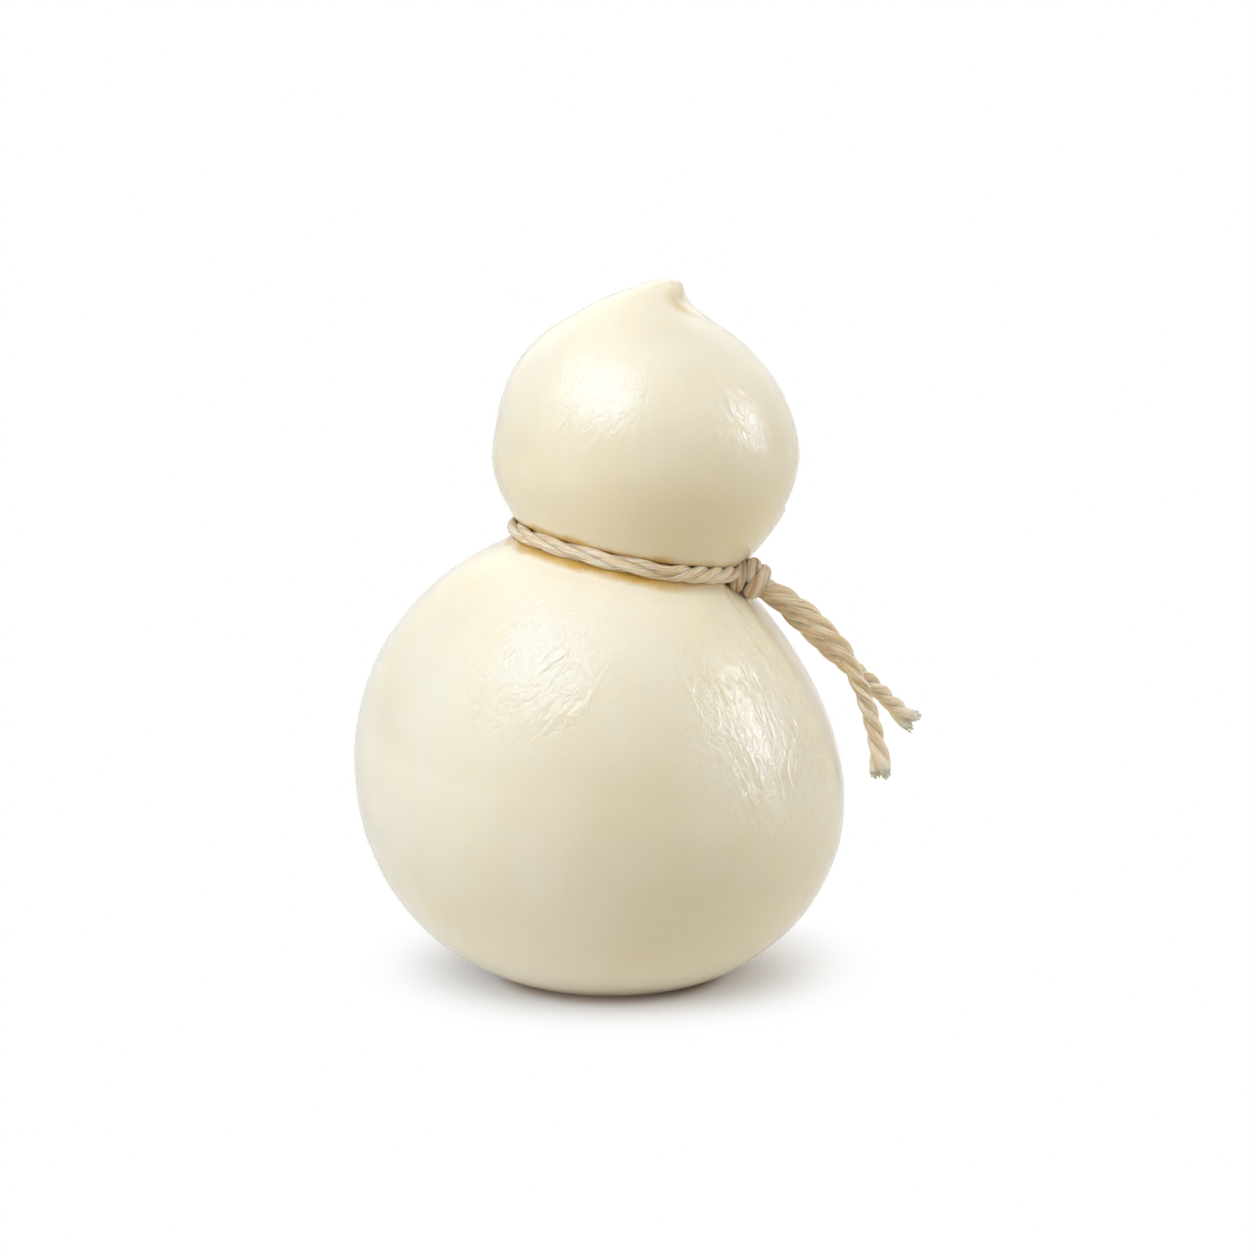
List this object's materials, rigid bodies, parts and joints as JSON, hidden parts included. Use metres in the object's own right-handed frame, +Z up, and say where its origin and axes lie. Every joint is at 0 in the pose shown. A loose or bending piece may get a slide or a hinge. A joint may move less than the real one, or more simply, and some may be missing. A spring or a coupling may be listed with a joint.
{
  "type": "scamorza cheese",
  "caption": "Whole stretched-curd cheese: a round body and a smaller head with a pinched tip, tied round the neck with twine whose loose ends hang from a knot.",
  "frame": {"origin": "centre of the cheese's box on the surface that the foot rests on", "axes": "+Z up through the head, -Y towards the front, +X towards the knot and the loose ends"},
  "size_m": [0.0864, 0.0756, 0.1061],
  "materials": {
    "cheese": "smooth ivory cheese skin, slightly wet and translucent",
    "twine": "natural waxed three-ply twine"
  },
  "bodies": {
    "root": {"cheese": "cheese", "neck_twine": "twine", "knot": "twine", "tail_front": "twine", "tail_rear": "twine"}
  },
  "joints": []
}
